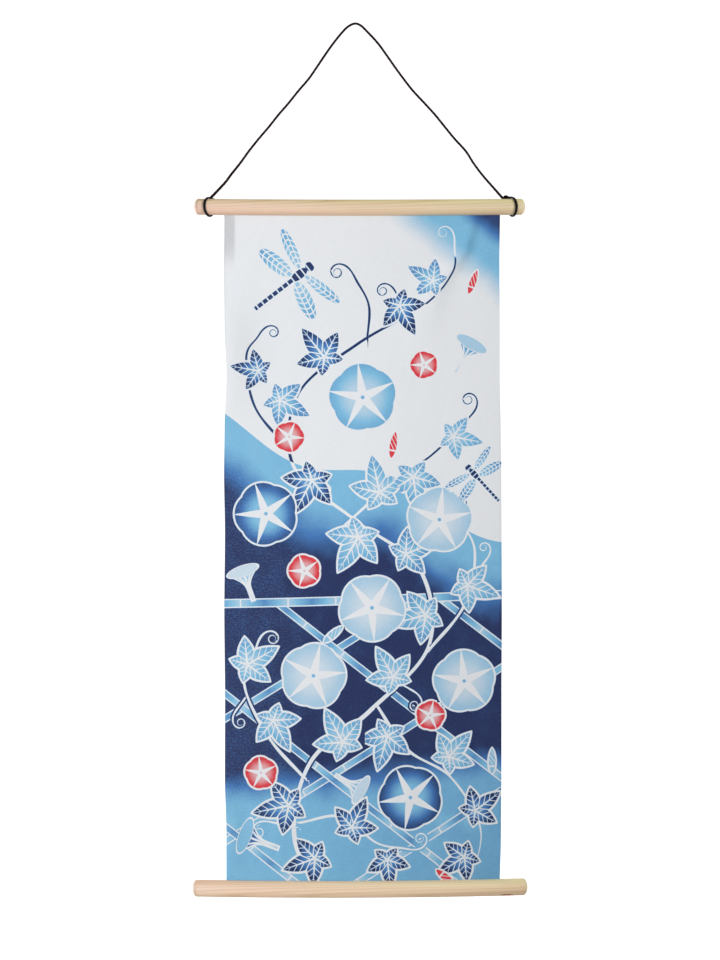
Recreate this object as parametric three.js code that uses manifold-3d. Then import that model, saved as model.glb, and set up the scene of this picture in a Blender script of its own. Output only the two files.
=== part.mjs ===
// Tenugui towel hung as a scroll between two slotted wooden rods, on a cord tied to two elastic loops.
// Millimetres. X runs right along the rods, Y goes back towards the wall and Z is up.
// The origin is the underside of the cord's peak, where a hook carries it.
import * as THREE from "three";
import { mergeVertices } from "three/addons/utils/BufferGeometryUtils.js";
import Module from "manifold-3d";

const wasm = await Module();
wasm.setup();
const { degToRad, lerp, smoothstep } = THREE.MathUtils;

// Clear space between pieces that touch on the real thing
const GAP = 0.3;

// Vertices this close are one
const SAME_POINT = 1e-4;

// Rods: round dowels with domed ends, one above the other
const ROD_LENGTH = 433;
const ROD_RADIUS = 10.5;
const ROD_DOME = 5;
const ROD_SIDES = 28;
const ROD_STATIONS = 8;
const DOME_STEPS = 4;
const RODS_RIGHT_OF_HOOK = 5.4;
const TOP_ROD_DROP = 240;
const ROD_SPACING = 886.3;

// slope is the rise per millimetre to the right, sag how far the middle hangs under the ends,
// and slot says whether the saw slot opens down or up
const TOP_ROD = { slope: 0, sag: 1.1, slot: -1 };
const BOTTOM_ROD = { slope: 0.0042, sag: 2.5, slot: 1 };

// Cloth, gripped at both ends in a slot that is cut past the rod's axis
const CLOTH_THICKNESS = 1.1;
const SLOT_WIDTH = CLOTH_THICKNESS + 2 * GAP;
const SLOT_DEPTH = 13.5;
const SLOT_STATIONS = 12;
const EDGE_TO_SLOT_FLOOR = 0.5;
const GRIP = SLOT_DEPTH - ROD_RADIUS - EDGE_TO_SLOT_FLOOR;

// Selvedges, measured across from the rods' middle, at each drop below the top rod
const OUTLINE = [
  { drop: 0, left: -177.2, right: 183.6 },
  { drop: 75, left: -177.5, right: 182.4 },
  { drop: 153, left: -176.0, right: 182.9 },
  { drop: 222, left: -173.2, right: 182.9 },
  { drop: 290, left: -175.9, right: 184.2 },
  { drop: 349, left: -176.6, right: 184.7 },
  { drop: 427, left: -175.3, right: 184.9 },
  { drop: 525, left: -175.8, right: 185.1 },
  { drop: 642, left: -174.9, right: 184.3 },
  { drop: 740, left: -174.6, right: 184.0 },
  { drop: 817, left: -171.8, right: 182.6 },
  { drop: 887, left: -172.3, right: 181.6 },
];

// Soft folds down the cloth. across is the fold's place at its middle and slant its shift for each millimetre
// down. depth is how far a trough goes back, and a ridge comes forward with a minus sign. A fold that starts at
// a rod reaches past it, so that it is already deep where the cloth comes free.
const FOLDS = [
  { across: 143, slant: 0, from: -50, to: 92, width: 8, depth: 2.4 },
  { across: 158, slant: 0.03, from: -50, to: 84, width: 8, depth: -1.8 },
  { across: 117, slant: -0.22, from: 25, to: 205, width: 15, depth: 3.4 },
  { across: 88, slant: -0.15, from: 10, to: 215, width: 17, depth: -1.6 },
  { across: -172, slant: 0, from: 90, to: 320, width: 30, depth: 6 },
  { across: -70, slant: 0.05, from: 40, to: 660, width: 80, depth: -3 },
  { across: 60, slant: 0.08, from: 190, to: 860, width: 75, depth: 3.5 },
  { across: -150, slant: 0.04, from: 420, to: 900, width: 40, depth: 2.6 },
  { across: 97, slant: -0.3, from: 760, to: 960, width: 9, depth: 1.4 },
  { across: 122, slant: 0.08, from: 765, to: 975, width: 7, depth: -2.0 },
  { across: 138, slant: 0.1, from: 755, to: 975, width: 9, depth: 2.2 },
  { across: 158, slant: -0.08, from: 775, to: 975, width: 8, depth: -1.5 },
  { across: 173, slant: 0, from: 765, to: 975, width: 8, depth: 1.8 },
  { across: -165, slant: 0, from: 740, to: 975, width: 12, depth: 2.4 },
];
// Share of a fold's length over which it rises, and again dies away
const FOLD_FADE = 0.42;

// The left margin leans back outside a crease, most of all just under the top rod
const MARGIN_LEAN = { crease: -164, softness: 1.6, slope: 0.38, full: 38, gone: 92 };

// How far outside the rods the cloth leaves the slots' straight line, and how far on it is free
const STRAIGHT_UNTIL = 0.5;
const FREE_AFTER = 12;

// Steps of the cloth's grid, across from the left selvedge and down from the top edge
const COLUMN_STEPS = [{ until: 18, step: 4.5 }, { until: 250, step: 14.5 }, { until: 361, step: 7.4 }];
const IN_ROD = GRIP + ROD_RADIUS + STRAIGHT_UNTIL;
const CUT_LENGTH = ROD_SPACING + 2 * GRIP;
const ROW_STEPS = [
  { until: IN_ROD, step: 7 },
  { until: 36, step: 5 },
  { until: 192, step: 15 },
  { until: 792, step: 30 },
  { until: CUT_LENGTH - 29, step: 10 },
  { until: CUT_LENGTH - IN_ROD, step: 5 },
  { until: CUT_LENGTH, step: 7 },
];

// Elastic loops round the top rod. front is the front strand's distance from the rods' middle, lean how far the
// loop tips inwards behind, phase the turn at which it lies furthest out, and pull the cord's tug at the knot.
const LOOP_STRAND = 1.5;
const LOOP_STEPS = 44;
const LOOP_SIDES = 8;
const LOOPS = {
  left: { side: -1, front: 203.1, lean: 5.8, phase: 0, pull: 4.6, pullAt: 128, pullSpread: 26, knotAt: 165 },
  right: { side: 1, front: 205.3, lean: 4.7, phase: -10, pull: 5.5, pullAt: 130, pullSpread: 34, knotAt: 130 },
};

// Knots, plain beads round the elastic, which they lift off the rod
const KNOT_BORE = LOOP_STRAND + GAP + 0.4;
const KNOT_RADIUS = 3.65;
const KNOT_LENGTH = 4.2;
const KNOT_LIFT = KNOT_RADIUS - LOOP_STRAND;
const KNOT_LIFT_SPREAD = 28;
const KNOT_STEPS = 10;
const KNOT_SIDES = 20;

// Cord, from the left knot over the hook to the right knot, as it hangs in the photograph
const CORD_RADIUS = 1.1;
const CORD_SIDES = 8;
const CORD_STEPS = 80;
const CORD_ROUTE = [
  [-189.3, 13.2, -233.6],
  [-190.0, 9.0, -227.4],
  [-183.9, 8.7, -220.7],
  [-170.6, 8.1, -206.4],
  [-163.7, 7.8, -197.1],
  [-151.2, 7.2, -181.4],
  [-139.8, 6.6, -165.7],
  [-127.2, 6.0, -149.9],
  [-113.8, 5.4, -134.2],
  [-101.3, 4.8, -118.5],
  [-87.6, 4.2, -102.7],
  [-75.0, 3.6, -87.0],
  [-61.5, 2.9, -71.3],
  [-50.5, 2.4, -55.5],
  [-39.9, 1.9, -39.8],
  [-28.7, 1.4, -24.1],
  [-15.7, 0.7, -8.3],
  [-7.6, 0.4, -1.4],
  [0.0, 0.0, 1.1],
  [7.2, 0.3, -1.7],
  [14.3, 0.7, -8.3],
  [29.0, 1.4, -24.1],
  [40.5, 1.9, -39.8],
  [51.5, 2.4, -55.5],
  [63.1, 3.0, -71.3],
  [75.5, 3.5, -87.0],
  [90.2, 4.2, -102.7],
  [104.6, 4.9, -118.5],
  [117.3, 5.5, -134.2],
  [130.2, 6.1, -149.9],
  [144.6, 6.8, -165.7],
  [154.7, 7.2, -181.4],
  [166.5, 7.8, -197.1],
  [180.3, 8.4, -212.9],
  [193.0, 9.0, -227.3],
];

const WOOD = new THREE.MeshStandardMaterial({ color: 0xe3cba9, roughness: 0.6, metalness: 0 });
const COTTON = new THREE.MeshStandardMaterial({ color: 0x6f9cc6, roughness: 0.9, metalness: 0 });
const ELASTIC = new THREE.MeshStandardMaterial({ color: 0x101416, roughness: 0.55, metalness: 0 });
const CORD = new THREE.MeshStandardMaterial({ color: 0x26110f, roughness: 0.7, metalness: 0 });

// Height of a rod's axis over the level line through its ends' middle
function axisHeight(rod, x) {
  return rod.slope * x - rod.sag * (1 - ((2 * x) / ROD_LENGTH) ** 2);
}

function moveVertices(geometry, place) {
  const position = geometry.attributes.position;
  const point = new THREE.Vector3();
  for (let i = 0; i < position.count; i++) {
    place(point.fromBufferAttribute(position, i));
    position.setXYZ(i, point.x, point.y, point.z);
  }
  geometry.computeVertexNormals();
  return geometry;
}

function solidOf(geometry) {
  const bare = geometry.clone();
  bare.deleteAttribute("normal");
  bare.deleteAttribute("uv");
  const merged = mergeVertices(bare, SAME_POINT);
  const corners = [];
  for (let i = 0; i < merged.index.count; i += 3) {
    const [a, b, c] = merged.index.array.slice(i, i + 3);
    if (a !== b && b !== c && c !== a) {
      corners.push(a, b, c);
    }
  }
  return new wasm.Manifold(new wasm.Mesh({
    numProp: 3,
    vertProperties: merged.attributes.position.array,
    triVerts: Uint32Array.from(corners),
  }));
}

function geometryOf(solid) {
  const { vertProperties, triVerts } = solid.getMesh();
  const geometry = new THREE.BufferGeometry();
  geometry.setAttribute("position", new THREE.BufferAttribute(vertProperties, 3));
  geometry.setIndex(new THREE.BufferAttribute(triVerts, 1));
  geometry.computeVertexNormals();
  return geometry;
}

function dowelGeometry(rod) {
  const shoulder = ROD_LENGTH / 2 - ROD_DOME;
  const profile = [];
  for (let i = 0; i <= DOME_STEPS; i++) {
    const turn = ((i / DOME_STEPS) * Math.PI) / 2;
    profile.push(new THREE.Vector2(ROD_RADIUS * Math.sin(turn), -shoulder - ROD_DOME * Math.cos(turn)));
  }
  for (let i = 1; i < ROD_STATIONS; i++) {
    profile.push(new THREE.Vector2(ROD_RADIUS, lerp(-shoulder, shoulder, i / ROD_STATIONS)));
  }
  for (let i = DOME_STEPS; i >= 0; i--) {
    profile.push(new THREE.Vector2(profile[i].x, -profile[i].y));
  }
  const geometry = new THREE.LatheGeometry(profile, ROD_SIDES).rotateZ(-Math.PI / 2);
  return moveVertices(geometry, (point) => {
    point.z += axisHeight(rod, point.x);
  });
}

// The slot's floor follows the rod's sag, and its other side lies outside the rod
function slotGeometry(rod) {
  const reach = ROD_LENGTH / 2 + 1;
  const floor = rod.slot * (ROD_RADIUS - SLOT_DEPTH);
  const outside = rod.slot * 2 * ROD_RADIUS;
  const outline = new THREE.Shape([new THREE.Vector2(-reach, outside)]);
  for (let i = 0; i <= SLOT_STATIONS; i++) {
    const x = lerp(-reach, reach, i / SLOT_STATIONS);
    outline.lineTo(x, axisHeight(rod, x) + floor);
  }
  outline.lineTo(reach, outside);
  return new THREE.ExtrudeGeometry(outline, { depth: SLOT_WIDTH, bevelEnabled: false })
    .rotateX(Math.PI / 2)
    .translate(0, SLOT_WIDTH / 2, 0);
}

function rodGeometry(rod) {
  return geometryOf(solidOf(dowelGeometry(rod)).subtract(solidOf(slotGeometry(rod))));
}

// Places along one side of the grid, as fractions of its whole length
function stations(bands) {
  const places = [0];
  let start = 0;
  for (const band of bands) {
    const count = Math.round((band.until - start) / band.step);
    for (let i = 1; i <= count; i++) {
      places.push(lerp(start, band.until, i / count));
    }
    start = band.until;
  }
  return places.map((place) => place / start);
}

function selvedges(drop) {
  let row = 0;
  while (row < OUTLINE.length - 2 && drop > OUTLINE[row + 1].drop) {
    row++;
  }
  const above = OUTLINE[row];
  const below = OUTLINE[row + 1];
  const share = smoothstep(drop, above.drop, below.drop);
  return { left: lerp(above.left, below.left, share), right: lerp(above.right, below.right, share) };
}

function foldDepth(fold, x, drop) {
  const middle = (fold.from + fold.to) / 2;
  const offset = (x - fold.across - fold.slant * (drop - middle)) / fold.width;
  const fade = FOLD_FADE * (fold.to - fold.from);
  const begins = smoothstep(drop, fold.from, fold.from + fade);
  const ends = smoothstep(drop, fold.to - fade, fold.to);
  return fold.depth * Math.exp(-offset * offset) * begins * (1 - ends);
}

// Softplus of the distance outside the crease, so that the crease has a small round
function marginDepth(x, drop) {
  const outside = (MARGIN_LEAN.crease - x) / MARGIN_LEAN.softness;
  const bend = MARGIN_LEAN.softness * Math.log1p(Math.exp(outside));
  return MARGIN_LEAN.slope * bend * (1 - smoothstep(drop, MARGIN_LEAN.full, MARGIN_LEAN.gone));
}

function clothDepth(x, z) {
  const underTop = axisHeight(TOP_ROD, x) - z - ROD_RADIUS;
  const overBottom = z + ROD_SPACING - axisHeight(BOTTOM_ROD, x) - ROD_RADIUS;
  const free = [underTop, overBottom].map((clear) => smoothstep(clear, STRAIGHT_UNTIL, FREE_AFTER));
  const folds = FOLDS.reduce((sum, fold) => sum + foldDepth(fold, x, -z), 0);
  return free[0] * free[1] * (folds + marginDepth(x, -z));
}

// A thin box whose grid is moved onto the hanging sheet's two faces
function clothGeometry() {
  const columns = stations(COLUMN_STEPS);
  const rows = stations(ROW_STEPS);
  const box = new THREE.BoxGeometry(1, 1, 1, columns.length - 1, 1, rows.length - 1);
  return moveVertices(box, (point) => {
    const across = columns[Math.round((0.5 + point.x) * (columns.length - 1))];
    const down = rows[Math.round((0.5 - point.z) * (rows.length - 1))];
    const edges = selvedges(lerp(-GRIP, ROD_SPACING + GRIP, down));
    const x = lerp(edges.left, edges.right, across);
    const top = axisHeight(TOP_ROD, x) + GRIP;
    const bottom = axisHeight(BOTTOM_ROD, x) - ROD_SPACING - GRIP;
    const z = lerp(top, bottom, down);
    point.set(x, clothDepth(x, z) + point.y * CLOTH_THICKNESS, z);
  });
}

function bump(turn, centre, spread) {
  return Math.exp(-(((turn - centre) / spread) ** 2));
}

function plainMesh(name, geometry, material) {
  const mesh = new THREE.Mesh(geometry, material);
  mesh.name = name;
  return mesh;
}

// The strand's route, with turn 0 at the rod's front and 90 on its top
class LoopCurve extends THREE.Curve {
  constructor(loop) {
    super();
    this.loop = loop;
  }

  getPoint(share, target = new THREE.Vector3()) {
    const { side, front, lean, phase, pull, pullAt, pullSpread, knotAt } = this.loop;
    const turn = 360 * share;
    const tip = lean * (1 - Math.cos(degToRad(turn - phase)));
    const x = side * (front - tip - pull * bump(turn, pullAt, pullSpread));
    const lift = KNOT_LIFT * bump(turn, knotAt, KNOT_LIFT_SPREAD);
    const radius = ROD_RADIUS + GAP + LOOP_STRAND + lift;
    const angle = degToRad(turn);
    return target.set(x, -radius * Math.cos(angle), radius * Math.sin(angle) + axisHeight(TOP_ROD, x));
  }
}

function loopMesh(name, loop) {
  const geometry = new THREE.TubeGeometry(new LoopCurve(loop), LOOP_STEPS, LOOP_STRAND, LOOP_SIDES, true);
  return plainMesh(name, geometry, ELASTIC);
}

function knotMesh(name, loop) {
  const middle = (KNOT_BORE + KNOT_RADIUS) / 2;
  const half = (KNOT_RADIUS - KNOT_BORE) / 2;
  const profile = [];
  for (let i = 0; i <= KNOT_STEPS; i++) {
    const turn = ((i % KNOT_STEPS) / KNOT_STEPS) * 2 * Math.PI;
    profile.push(new THREE.Vector2(middle + half * Math.cos(turn), (KNOT_LENGTH / 2) * Math.sin(turn)));
  }
  const strand = new LoopCurve(loop);
  const mesh = plainMesh(name, new THREE.LatheGeometry(profile, KNOT_SIDES), CORD);
  mesh.position.copy(strand.getPoint(loop.knotAt / 360));
  mesh.quaternion.setFromUnitVectors(new THREE.Vector3(0, 1, 0), strand.getTangent(loop.knotAt / 360));
  return mesh;
}

function cordMesh() {
  const route = new THREE.CatmullRomCurve3(CORD_ROUTE.map((point) => new THREE.Vector3(...point)));
  const corners = [];
  for (let i = 0; i < CORD_SIDES; i++) {
    const turn = (i / CORD_SIDES) * 2 * Math.PI;
    corners.push(new THREE.Vector2(CORD_RADIUS * Math.cos(turn), CORD_RADIUS * Math.sin(turn)));
  }
  const section = new THREE.Shape(corners);
  const geometry = new THREE.ExtrudeGeometry(section, { steps: CORD_STEPS, extrudePath: route });
  return plainMesh("hanging_cord", geometry, CORD);
}

// Everything that hangs from the cord shares one group, placed at the top rod's middle
const scroll = new THREE.Group();
scroll.position.set(RODS_RIGHT_OF_HOOK, 0, -TOP_ROD_DROP);
const bottomRod = plainMesh("bottom_rod", rodGeometry(BOTTOM_ROD), WOOD);
bottomRod.position.z = -ROD_SPACING;
scroll.add(
  plainMesh("cloth", clothGeometry(), COTTON),
  plainMesh("top_rod", rodGeometry(TOP_ROD), WOOD),
  bottomRod,
  loopMesh("elastic_loop_left", LOOPS.left),
  loopMesh("elastic_loop_right", LOOPS.right),
  knotMesh("cord_knot_left", LOOPS.left),
  knotMesh("cord_knot_right", LOOPS.right),
);

const towel = new THREE.Group();
towel.add(scroll, cordMesh());

export default towel;
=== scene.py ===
"""A dyed cotton tenugui, hung as a scroll between two slotted rods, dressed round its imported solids."""

import math
from collections import namedtuple

import bmesh
import bpy
import numpy as np
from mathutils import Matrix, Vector


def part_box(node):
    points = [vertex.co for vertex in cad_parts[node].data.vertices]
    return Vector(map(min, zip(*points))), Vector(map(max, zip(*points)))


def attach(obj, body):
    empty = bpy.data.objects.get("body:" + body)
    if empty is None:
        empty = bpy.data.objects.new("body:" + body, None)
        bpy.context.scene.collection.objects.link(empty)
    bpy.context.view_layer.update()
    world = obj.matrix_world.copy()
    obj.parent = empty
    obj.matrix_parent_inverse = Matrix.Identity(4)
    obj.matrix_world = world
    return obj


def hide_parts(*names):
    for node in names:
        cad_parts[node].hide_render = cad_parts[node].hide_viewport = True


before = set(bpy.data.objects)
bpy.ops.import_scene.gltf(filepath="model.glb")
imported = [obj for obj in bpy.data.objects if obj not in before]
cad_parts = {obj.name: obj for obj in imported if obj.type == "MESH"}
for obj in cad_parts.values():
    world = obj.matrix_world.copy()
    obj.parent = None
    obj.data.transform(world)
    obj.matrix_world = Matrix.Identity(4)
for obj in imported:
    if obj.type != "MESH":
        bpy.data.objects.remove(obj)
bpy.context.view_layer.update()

bl_info = {
    "name": "Hanging Tenugui",
    "version": (1, 0, 0),
    "blender": (4, 5, 0),
    "location": "3D View > Sidebar > Tenugui",
    "description": "Cotton towel gripped by two rods, with its cord, elastic loops and studio",
    "category": "Add Mesh",
}

MM = 0.001

# Rods' middle line, to the right of the hook, and how far the top rod and the bottom rod hang under it
RODS_ACROSS = 5.4 * MM
TOP_ROD_DROP = 240 * MM
ROD_SPACING = 885.8 * MM
# A dark mark in the wood: millimetres across and up from the rod's middle, its reach and rise, and its depth
Mark = namedtuple("Mark", "across up reach rise depth")
BROWN_STREAK = Mark(190.5, -9.0, 11, 2.0, 0.95)
SPECK = Mark(209, 1.9, 1.2, 0.8, 0.4)
# Tints over the wood along a rod's middle, its upper side and its lower side: the wood's own tone, with
# painted light and shade in it
WoodToneAndLight = namedtuple("WoodToneAndLight", "middle upper lower")
# slope is the rise to the right, sag how far the middle hangs under the ends, slot whether the saw slot opens
# down or up, and pith the growth rings' centre from the rod's axis, in metres. thicker is a share, longer a
# length, and left and right are the tints at each end, which hold painted light and shade as well as the
# wood's tone.
Rod = namedtuple("Rod", "drop slope sag slot pith_back pith_up thicker longer left right marks")
RODS = {
    "top_rod": Rod(
        TOP_ROD_DROP, 0, 1.1 * MM, -1, 0.034, -0.046, 1, 0,
        WoodToneAndLight((0.90, 0.845, 0.89), (0.92, 0.96, 0.79), (1.13, 1.04, 1.02)),
        WoodToneAndLight((0.905, 1.0, 0.865), (1.05, 1.09, 0.88), (1.04, 0.97, 0.94)), ()),
    "bottom_rod": Rod(
        TOP_ROD_DROP + ROD_SPACING, 0.0042, 2.5 * MM, 1, 0.041, 0.038, 1.045, 1.8 * MM,
        WoodToneAndLight((1.08, 1.07, 1.18), (0.86, 0.78, 0.69), (1.04, 1.0, 0.87)),
        # Paler at the bottom rod's right end: painted light where the card shades the lower right
        WoodToneAndLight((1.11, 1.12, 0.95), (1.10, 1.24, 1.20), (0.83, 0.76, 0.77)), (BROWN_STREAK, SPECK)),
}
ROD_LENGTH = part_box("top_rod")[1].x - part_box("top_rod")[0].x
# Sides round a rod, steps along it and over each dome, and how far the saw reaches past it
ROD_SIDES = 96
ROD_STATIONS = 25
DOME_STEPS = 9
SAW_PAST = 2 * MM

# How far the cloth's cut edge goes past each rod's axis
GRIP = 2.5 * MM

# Selvedges in millimetres across from the rods' middle, at each drop below the top rod
OUTLINE_DROP = (0, 75, 153, 222, 290, 349, 427, 525, 642, 740, 817, 887)
OUTLINE_LEFT = (
    -177.2, -177.5, -176.7, -173.9, -176.0, -176.6, -175.3, -176.1, -175.0, -175.0, -173.0, -172.8)
OUTLINE_RIGHT = (
    183.6, 182.6, 182.9, 182.8, 184.0, 184.7, 184.9, 185.1, 184.4, 184.2, 183.4, 181.7)

# Folds in millimetres. Each row gives how far down it is, where the fold lies across, its reach to the left
# and to the right, and how far it goes back, or forward with a minus sign.
FOLDS = (
    ((-5, 153, 16, 7, 0), (22, 147, 16, 7, 2.4), (55, 138, 16, 7.5, 4.0), (78, 123, 18, 8.5, 4.6),
     (97, 109, 22, 11, 4.4), (121, 97, 26, 15, 3.8), (153, 88, 30, 20, 2.2), (215, 76, 34, 26, 0)),
    ((-5, 161, 8, 9, 0), (25, 158, 7, 9, -1.6), (60, 152, 8, 10, -1.6), (95, 136, 10, 14, -0.8),
     (140, 122, 10, 14, 0)),
    ((90, -172, 30, 30, 0), (190, -172, 30, 30, 6), (320, -172, 30, 30, 0)),
    ((40, -86, 80, 80, 0), (350, -70, 80, 80, -3), (660, -55, 80, 80, 0)),
    ((190, 33, 75, 75, 0), (525, 60, 75, 75, 3.5), (860, 87, 75, 75, 0)),
    ((420, -160, 40, 40, 0), (660, -150, 40, 40, 2.6), (900, -140, 40, 40, 0)),
    ((745, 124, 10, 20, 0), (820, 128, 8, 20, 2.0), (852, 129.5, 7, 21, 3.1), (876, 130, 8, 20, 2.2),
     (905, 130, 8, 20, 0)),
    ((750, 160, 14, 14, 0), (825, 162, 14, 14, -1.4), (870, 165, 14, 14, -1.6), (905, 165, 14, 14, 0)),
    ((740, 96, 10, 10, 0), (840, 92, 10, 10, 1.3), (905, 90, 10, 10, 0)),
    ((735, -165, 12, 12, 0), (850, -165, 12, 12, 2.4), (905, -165, 12, 12, 0)),
)
# The left margin leans back from a crease, most of it just under the rod
Margin = namedtuple("Margin", "crease softness slope starts full gone")
MARGIN_LEAN = Margin(-163.6, 0.45, 0.69, 2.5, 34, 88)
# Sixteen of the mesh's 120 columns lie within 24 mm of the left selvedge, where the margin's crease is
CLOSE_COLUMNS = (0, 16 / 120, 1), (0, 24 / 361, 1)
# How far outside the rods, in millimetres, the cloth leaves the slots' straight line, and where it is free
STRAIGHT_UNTIL = 0.5
FREE_AFTER = 12
# The cotton as it was cut
CLOTH_WIDTH = 0.36

# The cord's route in millimetres from the hook, left knot to right knot
CORD_ROUTE = (
    (-187.6, 13.8, -235.6), (-189.6, 12.4, -232.4), (-190.0, 9.0, -227.4), (-183.9, 8.7, -220.7),
    (-170.6, 8.1, -206.4), (-163.7, 7.8, -197.1), (-151.2, 7.2, -181.4), (-139.8, 6.6, -165.7),
    (-127.2, 6.0, -149.9),
    (-113.8, 5.4, -134.2), (-101.3, 4.8, -118.5), (-87.6, 4.2, -102.7), (-75.0, 3.6, -87.0),
    (-61.5, 2.9, -71.3), (-50.5, 2.4, -55.5), (-39.9, 1.9, -39.8), (-28.7, 1.4, -24.1),
    (-15.7, 0.7, -8.3), (-7.6, 0.4, -1.4), (0.0, 0.0, 1.1), (7.2, 0.3, -1.7),
    (14.3, 0.7, -8.3), (29.0, 1.4, -24.1), (40.5, 1.9, -39.8), (51.5, 2.4, -55.5),
    (63.1, 3.0, -71.3), (75.5, 3.5, -87.0), (90.2, 4.2, -102.7), (104.6, 4.9, -118.5),
    (117.3, 5.5, -134.2), (130.2, 6.1, -149.9), (144.6, 6.8, -165.7), (154.7, 7.2, -181.4),
    (166.5, 7.8, -197.1), (180.3, 8.4, -212.9), (192.8, 9.0, -226.9), (195.4, 8.6, -228.2),
)
# How much thicker the cord is at its left and its right end, where a tail lies along it, and over how far
CORD_SWELL = ((0.22, 60 * MM), (0.12, 22 * MM))
# The right knot's tail, resting on the rod, in millimetres from the hook
TAIL_ROUTE = ((196.0, 8.0, -227.6), (199.0, 5.8, -226.6), (201.6, 4.6, -227.5), (204.0, 3.4, -227.1))
# How far a knot lifts the elastic off the rod, and over how many degrees either way
KNOT_LIFT = 2.3 * MM
KNOT_LIFT_SPREAD = 28
ELASTIC_CLEAR = 0.15 * MM
# Steps round the rod and round the strand in an elastic loop
LOOP_STEPS, STRAND_SIDES = 96, 18

# Elastic loops: front is the front strand's distance from the rods' middle in millimetres, lean how far the
# loop tips inwards behind, phase the turn at which it lies furthest out, and pull the cord's tug at the knot.
Loop = namedtuple("Loop", "side front lean phase pull pull_at pull_spread knot_at")
LOOPS = {
    "left": Loop(-1, 202.2, 5.3, 0, 4.6, 128, 26, 165),
    "right": Loop(1, 204.4, 4.5, -10, 5.5, 128, 32, 124),
}
# Each knot's turns round the elastic reach this far either way
KNOT_TURNS = 1.05

# The dyed design, in millimetres across from the rods' middle and down from the top rod. Turns are in degrees
# from the right, clockwise as seen from the front. tone is 0 for white, 0.45 light blue, 1 indigo and 2 red.
# A stroke's curl is the number of steps in the tendril at its tip.
Stroke = namedtuple("Stroke", "width points curl turns", defaults=(0, 0))
Motif = namedtuple("Motif", "across down size turn tone kind", defaults=(0,))
VINES = (
    Stroke(6.0, ((-34, 905), (-84, 822), (-64, 722), (14, 655), (90, 572), (78, 472), (-6, 408), (-86, 338),
                 (-80, 244), (-2, 178), (84, 128), (122, 84), (124, 48)), 74, -1.5),
    Stroke(4.4, ((-72, 742), (-118, 690), (-150, 622), (-134, 572)), 84, 1.6),
    Stroke(4.2, ((88, 580), (136, 520), (150, 450), (128, 404)), 60, 1.3),
    Stroke(3.6, ((-20, 415), (40, 362), (96, 322), (142, 276)), 88, -1.6),
    Stroke(3.6, ((-90, 318), (-136, 262), (-148, 196), (-132, 168)), 70, 1.5),
    Stroke(4.2, ((22, 648), (62, 706), (118, 742), (156, 806), (150, 862))),
    Stroke(3.4, ((-78, 800), (-24, 792), (22, 826), (60, 834)), 80, -1.5),
    Stroke(3.2, ((10, 172), (12, 128), (-6, 92)), 90, -1.6),
    Stroke(2.6, ((-80, 350), (-66, 366)), 76, -1.5),
    Stroke(2.6, ((-149, 640), (-158, 652)), 70, -1.5),
    Stroke(2.6, ((52, 620), (66, 628)), 76, 1.5),
    Stroke(2.6, ((60, 146), (50, 118)), 80, -1.6),
    Stroke(2.6, ((-84, 806), (-112, 800)), 80, -1.5),
    Stroke(2.6, ((150, 480), (164, 462)), 60, -1.4),
)
LEAVES = [Motif(*row) for row in (
    (96, 96, 40, -150, 0.62), (52, 128, 46, 62, 0.95), (-46, 196, 50, -128, 0.9), (-104, 252, 46, 28, 0.62),
    (-132, 214, 40, -170, 0.95), (-62, 356, 52, 118, 0.9), (26, 372, 52, -102, 0.5), (70, 352, 50, 82, 0.55),
    (122, 300, 42, 12, 0.5), (-2, 430, 54, 120, 0.5), (60, 452, 46, -20, 0.62), (140, 494, 46, 20, 0.5),
    (86, 532, 50, 166, 0.55), (44, 612, 46, -120, 0.5), (-146, 596, 48, -30, 0.5), (-112, 668, 46, 62, 0.55),
    (-22, 696, 50, -118, 0.5), (36, 688, 48, 106, 0.62), (116, 716, 44, -48, 0.5), (-92, 778, 50, 168, 0.9),
    (-58, 846, 46, 160, 0.95), (-10, 806, 44, -64, 0.9), (150, 786, 42, -36, 0.95), (136, 846, 42, 150, 0.95),
    (36, 848, 40, 84, 0.95),
)]
# Each lobe's turn from the leaf's middle line, its length and its width
LEAF_LOBES = ((0, 1.0, 0.27), (66, 0.78, 0.25), (134, 0.52, 0.2))
FACE_ON, SIDE_ON, BUD, DRAGONFLY = 1, 2, 3, 4
BLOOMS = [Motif(*row) for row in (
    (4, 248, 45, 10, 0.5, FACE_ON), (-92, 300, 21, 40, 2, FACE_ON), (84, 206, 19, 0, 2, FACE_ON),
    (-122, 400, 42, 70, 0.85, FACE_ON), (104, 408, 43, 24, 0.3, FACE_ON), (16, 522, 44, 50, 0.3, FACE_ON),
    (-72, 474, 22, 0, 2, FACE_ON), (136, 618, 41, 12, 0.34, FACE_ON), (-60, 610, 43, 30, 0.3, FACE_ON),
    (66, 768, 42, 64, 0.9, FACE_ON), (92, 662, 20, 30, 2, FACE_ON), (-128, 736, 22, 10, 2, FACE_ON),
    (-136, 822, 34, 200, 0.8, SIDE_ON), (140, 190, 32, -60, 0.55, SIDE_ON),
    (-148, 486, 30, -110, 0.3, SIDE_ON), (-8, 752, 28, 30, 0.36, SIDE_ON),
    (148, 98, 17, -70, 2, BUD), (172, 722, 17, -90, 0.4, BUD),
    (112, 872, 17, 40, 2, BUD), (44, 310, 18, -80, 2, BUD), (-34, 556, 17, -40, 0.4, BUD),
    (-84, 92, 64, -38, 0.5, DRAGONFLY), (152, 352, 42, -132, 0.6, DRAGONFLY),
)]
# The bamboo fence in metres: its two ways of poles, their half width and distance apart, the level rail over
# them and its half width, and the distance between two joints
FENCE_TURNS = (58, -52)
POLE = 4.2 * MM
FENCE_SPACING = 0.135
FENCE_TOP = 0.512
RAIL = 5.2 * MM
JOINT_SPACING = 0.062
# How softly the dye ends at a line, how far it creeps along threads, the undyed rim of a vine over the fence,
# and the grey that shows between threads in deep dye
SOFT = 0.35 * MM
CREEP = 1.1 * MM
VINE_RIM = 2.2 * MM
THREAD_GAP = (0.19, 0.19, 0.2, 1)
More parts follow.
